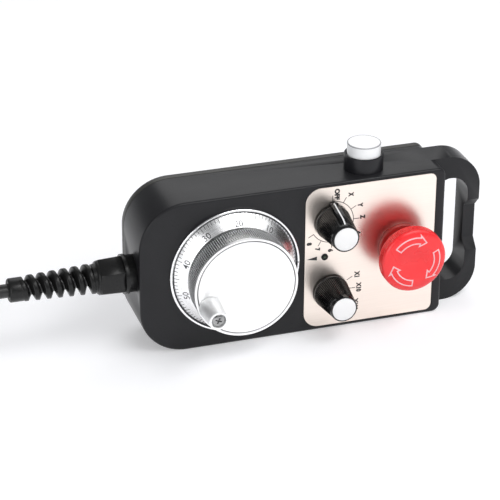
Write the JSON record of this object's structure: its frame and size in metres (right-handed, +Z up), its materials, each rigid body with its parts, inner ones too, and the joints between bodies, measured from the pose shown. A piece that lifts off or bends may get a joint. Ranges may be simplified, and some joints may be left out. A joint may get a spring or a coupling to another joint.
{
  "type": "manual pulse generator handwheel pendant",
  "caption": "Hand-held machine pendant with a cranked pulse handwheel, rotary selectors, a mushroom emergency stop, a push button, a loop handle and a cable with a spiral bend relief.",
  "frame": {"origin": "middle of the part's length and depth, on the surface it stands on, without its loose cable", "axes": "+X from the cable gland to the loop handle, -Y the way the face looks, +Z up"},
  "size_m": [0.4403, 0.1339, 0.1101],
  "materials": {
    "housing_black": "satin moulded, charcoal",
    "cover_black": "satin moulded, charcoal",
    "seal_rubber": "matte",
    "plate_steel": "satin, with printed scales",
    "dial_silver": "satin, with a printed scale",
    "knob_aluminium": "bright turned, ribbed side",
    "grip_silver": "satin",
    "fastener_steel": "plated",
    "spring_steel": "plain",
    "brass_parts": "plain",
    "inner_black": "plain",
    "board_green": "solder mask",
    "knob_black": "satin moulded",
    "cap_white": "gloss",
    "stop_red": "gloss",
    "collar_black": "satin",
    "button_clear": "clear moulded cap",
    "lamp_lens": "unlit",
    "gland_black": "satin moulded",
    "cable_black": "satin jacket",
    "plug_metal": "satin plated shell"
  },
  "bodies": {
    "housing": {"front_housing": "housing_black", "back_cover": "cover_black", "housing_seal": "seal_rubber", "cover_screws": "fastener_steel", "face_plate": "plate_steel", "pulser_case": "dial_silver", "pulser_studs": "fastener_steel", "pulser_nuts": "fastener_steel", "shaft_bearings": "fastener_steel", "click_spring": "spring_steel", "sensor_board": "board_green", "pulser_cap": "dial_silver", "pulser_terminals": "inner_black", "axis_switch": "inner_black", "multiplier_switch": "inner_black", "switch_nuts": "fastener_steel", "stop_collar": "collar_black", "stop_nut": "collar_black", "stop_contacts": "inner_black", "stop_spring": "spring_steel", "button_bezel": "collar_black", "button_nut": "fastener_steel", "button_contacts": "inner_black", "button_spring": "spring_steel", "lamp_holder": "collar_black", "lamp_lens": "lamp_lens", "junction_board": "board_green", "board_screws": "fastener_steel", "gland_body": "gland_black", "gland_seal": "seal_rubber", "gland_lock_nut": "gland_black", "spiral_gland_nut": "gland_black", "cable_end": "cable_black", "cord_lead": "cable_black", "cord_coil": "cable_black", "cord_tail": "cable_black", "cord_tie": "seal_rubber", "cord_plug": "plug_metal"},
    "wheel": {"pulser_shaft": "fastener_steel", "shaft_circlip": "spring_steel", "click_wheel": "brass_parts", "code_disc": "spring_steel", "dial_disc": "dial_silver", "handwheel_knob": "knob_aluminium", "wheel_set_screw": "fastener_steel", "crank_spindle": "fastener_steel"},
    "grip": {"crank_grip": "grip_silver"},
    "axis_dial": {"axis_shaft": "fastener_steel", "axis_knob": "knob_black", "axis_cap": "cap_white", "knob_set_screw_axis": "fastener_steel"},
    "multiplier_dial": {"multiplier_shaft": "fastener_steel", "multiplier_knob": "knob_black", "multiplier_cap": "cap_white", "knob_set_screw_multiplier": "fastener_steel"},
    "stop_stem": {"stop_plunger": "stop_red"},
    "stop_button": {"stop_head": "stop_red"},
    "push_button": {"button_plunger": "cap_white", "button_diffuser": "cap_white", "button_lens": "button_clear"}
  },
  "joints": [
    {"name": "handwheel_spin", "type": "hinge", "parent": "housing", "child": "wheel", "pos_m": [-0.014, 0.00055, 0.049], "axis": [0, 1, 0], "continuous": true},
    {"name": "crank_grip_spin", "type": "hinge", "parent": "wheel", "child": "grip", "pos_m": [-0.03625, -0.02945, 0.04001], "axis": [0, 1, 0], "continuous": true},
    {"name": "axis_selector", "type": "hinge", "parent": "housing", "child": "axis_dial", "pos_m": [0.046, 0.00055, 0.071], "axis": [0, 1, 0], "range_deg": [0, 240]},
    {"name": "multiplier_selector", "type": "hinge", "parent": "housing", "child": "multiplier_dial", "pos_m": [0.046, 0.00055, 0.025], "axis": [0, 1, 0], "range_deg": [-60, 0]},
    {"name": "stop_press", "type": "slide", "parent": "housing", "child": "stop_stem", "axis": [0, 1, 0], "range_m": [0, 0.0045], "stiffness_N_per_m": 1500, "springref_m": -0.004},
    {"name": "stop_twist", "type": "hinge", "parent": "stop_stem", "child": "stop_button", "pos_m": [0.09, 0.00055, 0.049], "axis": [0, 1, 0], "range_deg": [0, 45], "stiffness_Nm_per_rad": 0.05, "springref_deg": -11.46},
    {"name": "button_press", "type": "slide", "parent": "housing", "child": "push_button", "axis": [0, 0, -1], "range_m": [0, 0.003], "stiffness_N_per_m": 400, "springref_m": -0.002, "deforming": ["button_spring"]}
  ]
}
